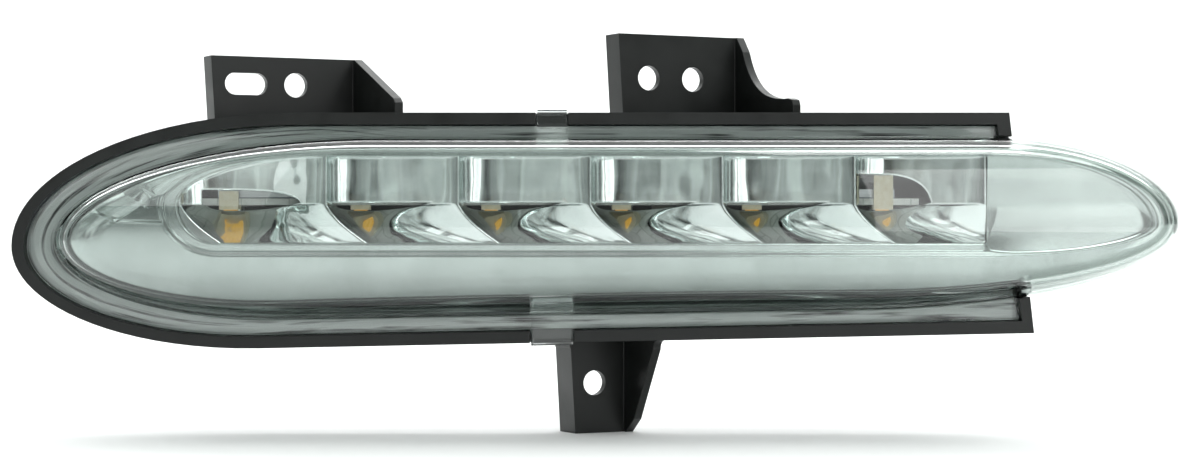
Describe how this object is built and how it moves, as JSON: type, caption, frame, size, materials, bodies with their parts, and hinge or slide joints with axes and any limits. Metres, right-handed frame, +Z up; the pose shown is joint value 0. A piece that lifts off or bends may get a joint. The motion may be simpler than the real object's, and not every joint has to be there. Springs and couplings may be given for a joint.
{
  "type": "daytime running light",
  "caption": "Long leaf-shaped car daytime running light: clear domed lens over a silvered bezel and mirror cells lit by LEDs, in a black rimmed housing with yawed mounting brackets.",
  "frame": {"origin": "middle of the bumper opening, on the front plane of the lens flange", "axes": "+X along the lamp towards its free lens tip, +Y back into the car, +Z up; the lens faces -Y"},
  "size_m": [0.2917, 0.064, 0.1029],
  "materials": {
    "black_plastic": "satin, moulded",
    "clear_lens": "clear, polished",
    "sealant": "matt, soft",
    "satin_silver": "satin, metallised plastic",
    "mirror_coat": "mirror bright, metallised plastic",
    "board_mask": "semi-gloss white solder mask",
    "led_body": "matt, moulded",
    "phosphor": "clear over yellow powder",
    "pad": "matt, soft",
    "aluminium": "mill finish",
    "steel": "zinc plated",
    "rubber": "matt",
    "tinned_brass": "tin plated",
    "white_plastic": "moulded",
    "wire_sleeve": "extruded",
    "chip_resin": "matt, moulded",
    "membrane": "fine white felt"
  },
  "bodies": {
    "root": {"housing": "black_plastic", "outer_lens": "clear_lens", "lens_sealant": "sealant", "end_sealant": "sealant", "front_bezel": "satin_silver", "reflector": "mirror_coat", "led_board": "board_mask", "led_packages": "led_body", "led_phosphors": "phosphor", "thermal_pad": "pad", "heat_sink": "aluminium", "board_screws": "steel", "back_screws": "steel", "screw_seals": "rubber", "socket_terminals": "tinned_brass", "board_header": "white_plastic", "lead_wires": "wire_sleeve", "driver_chip": "chip_resin", "protection_diode": "chip_resin", "power_resistors": "chip_resin", "input_capacitor": "aluminium", "vent_cap": "rubber", "vent_membrane": "membrane"}
  },
  "joints": []
}
